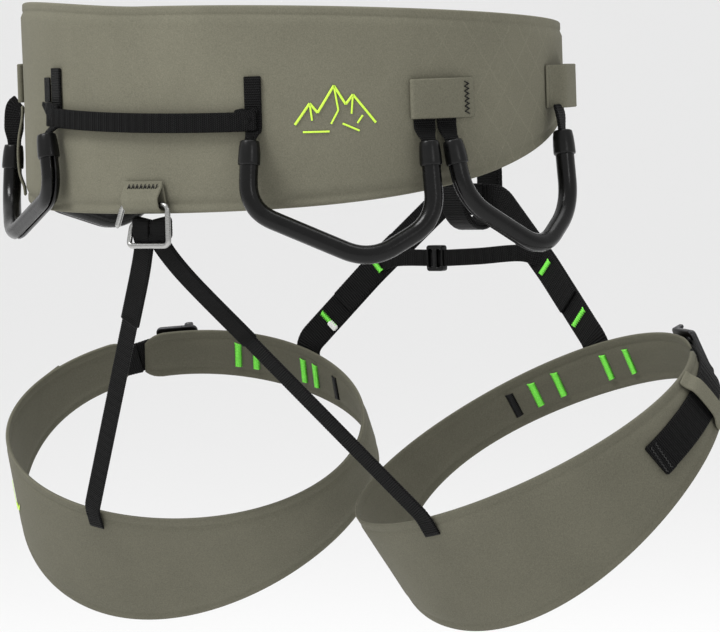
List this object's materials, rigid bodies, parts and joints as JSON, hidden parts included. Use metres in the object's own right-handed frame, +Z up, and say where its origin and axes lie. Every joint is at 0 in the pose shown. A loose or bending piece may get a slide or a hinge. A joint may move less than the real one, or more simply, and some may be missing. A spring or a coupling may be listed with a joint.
{
  "type": "climbing sit harness",
  "caption": "Sit harness with a laminated waist belt, two leg loops, moulded gear loops, a belay loop and a rear drop-seat hook.",
  "frame": {"origin": "centre of the waist opening, half way up the belt's back", "axes": "+X the wearer's right, +Y forward, +Z up"},
  "size_m": [0.4766, 0.3042, 0.3422],
  "materials": {
    "laminate": "matte laminated fabric, fine grain",
    "lining": "matte dark lining fabric",
    "webbing": "black ribbed nylon webbing",
    "elastic": "black knitted elastic",
    "moulded_plastic": "satin black moulded plastic",
    "buckle_metal": "black anodised buckle",
    "hook_steel": "satin steel rod",
    "thread": "lime green polyester thread"
  },
  "bodies": {
    "belt": {"belt_shell": "laminate", "belt_core": "webbing", "belt_lining": "lining", "waist_webbing": "webbing", "waist_anchor_webbing": "webbing", "waist_tail": "webbing", "waist_tail_keeper": "webbing", "waist_buckle_base": "buckle_metal", "upper_tie_in": "webbing", "gear_anchors_right": "webbing", "gear_anchors_left": "webbing", "haul_strap": "webbing", "haul_label": "webbing", "side_tab_right": "laminate", "side_tab_left": "laminate", "side_strap_left": "laminate", "front_tab_right": "laminate", "front_tab_left": "laminate", "rear_tab": "laminate", "bar_tacks": "thread"},
    "rear_link": {"rear_hook": "hook_steel", "lower_tie_in": "webbing", "rear_elastic_right": "elastic", "rear_elastic_left": "elastic", "cross_strap_right": "webbing", "cross_strap_left": "webbing"},
    "belay_loop": {"belay_loop": "webbing"},
    "cross_strap_slider": {"cross_strap_slider": "moulded_plastic"},
    "waist_buckle_lever": {"waist_buckle_lever": "buckle_metal"},
    "leg_loop_right": {"leg_shell_right": "laminate", "leg_lining_right": "lining", "leg_webbing_right": "webbing", "leg_keeper_right": "laminate", "leg_buckle_base_right": "buckle_metal", "front_riser_right": "webbing", "rear_strap_right": "webbing"},
    "leg_buckle_lever_right": {"leg_buckle_lever_right": "buckle_metal"},
    "gear_loop_rear_right": {"gear_tube_rear_right": "moulded_plastic", "gear_core_rear_right": "webbing", "gear_sleeves_rear_right": "moulded_plastic"},
    "gear_loop_front_right": {"gear_tube_front_right": "moulded_plastic", "gear_core_front_right": "webbing", "gear_sleeves_front_right": "moulded_plastic"},
    "leg_loop_left": {"leg_shell_left": "laminate", "leg_lining_left": "lining", "leg_webbing_left": "webbing", "leg_keeper_left": "laminate", "leg_buckle_base_left": "buckle_metal", "front_riser_left": "webbing", "rear_strap_left": "webbing"},
    "leg_buckle_lever_left": {"leg_buckle_lever_left": "buckle_metal"},
    "gear_loop_rear_left": {"gear_tube_rear_left": "moulded_plastic", "gear_core_rear_left": "webbing", "gear_sleeves_rear_left": "moulded_plastic"},
    "gear_loop_front_left": {"gear_tube_front_left": "moulded_plastic", "gear_core_front_left": "webbing", "gear_sleeves_front_left": "moulded_plastic"}
  },
  "joints": [
    {"name": "seat_drop", "type": "hinge", "parent": "belt", "child": "rear_link", "pos_m": [0, 0.151, -0.058], "axis": [1, 0, 0], "range_deg": [0, 30]},
    {"name": "leg_loop_right_raise", "type": "hinge", "parent": "rear_link", "child": "leg_loop_right", "pos_m": [0, 0.151, -0.058], "axis": [1, 0, 0], "range_deg": [-5, 15], "deforming": ["rear_elastic_right", "rear_strap_right", "cross_strap_right"]},
    {"name": "leg_loop_left_raise", "type": "hinge", "parent": "rear_link", "child": "leg_loop_left", "pos_m": [0, 0.151, -0.058], "axis": [1, 0, 0], "range_deg": [-5, 15], "deforming": ["rear_elastic_left", "rear_strap_left", "cross_strap_left"]},
    {"name": "gear_loop_rear_right_swing", "type": "hinge", "parent": "belt", "child": "gear_loop_rear_right", "pos_m": [0.10992, -0.09194, -0.0173], "axis": [-0.7842, -0.6197, 0.032], "range_deg": [0, 65]},
    {"name": "gear_loop_front_right_swing", "type": "hinge", "parent": "belt", "child": "gear_loop_front_right", "pos_m": [0.15735, -0.0104, -0.0178], "axis": [-0.0992, -0.9948, -0.0242], "range_deg": [0, 65]},
    {"name": "gear_loop_rear_left_swing", "type": "hinge", "parent": "belt", "child": "gear_loop_rear_left", "pos_m": [-0.10745, -0.09289, -0.0143], "axis": [-0.7924, 0.6058, -0.0707], "range_deg": [0, 65]},
    {"name": "gear_loop_front_left_swing", "type": "hinge", "parent": "belt", "child": "gear_loop_front_left", "pos_m": [-0.15438, 0.02349, -0.0108], "axis": [0.2237, 0.9736, 0.0458], "range_deg": [0, 65]},
    {"name": "belay_loop_yaw", "type": "hinge", "parent": "belt", "child": "belay_loop", "pos_m": [0, 0.151, -0.03], "axis": [0, 0, 1], "range_deg": [-20, 20]},
    {"name": "cross_strap_slider_slide", "type": "slide", "parent": "rear_link", "child": "cross_strap_slider", "axis": [-1, 0, 0], "range_m": [0, 0.02]},
    {"name": "waist_buckle_tilt", "type": "hinge", "parent": "belt", "child": "waist_buckle_lever", "pos_m": [-0.04895, 0.12687, 0.024], "axis": [0, 0, -1], "range_deg": [0, 35]},
    {"name": "leg_buckle_right_tilt", "type": "hinge", "parent": "leg_loop_right", "child": "leg_buckle_lever_right", "pos_m": [0.17739, 0.11565, -0.13819], "axis": [-0.1533, -0.4124, 0.898], "range_deg": [0, 35]},
    {"name": "leg_buckle_left_tilt", "type": "hinge", "parent": "leg_loop_left", "child": "leg_buckle_lever_left", "pos_m": [-0.17739, 0.11565, -0.13819], "axis": [-0.1533, 0.4124, -0.898], "range_deg": [0, 35]}
  ]
}
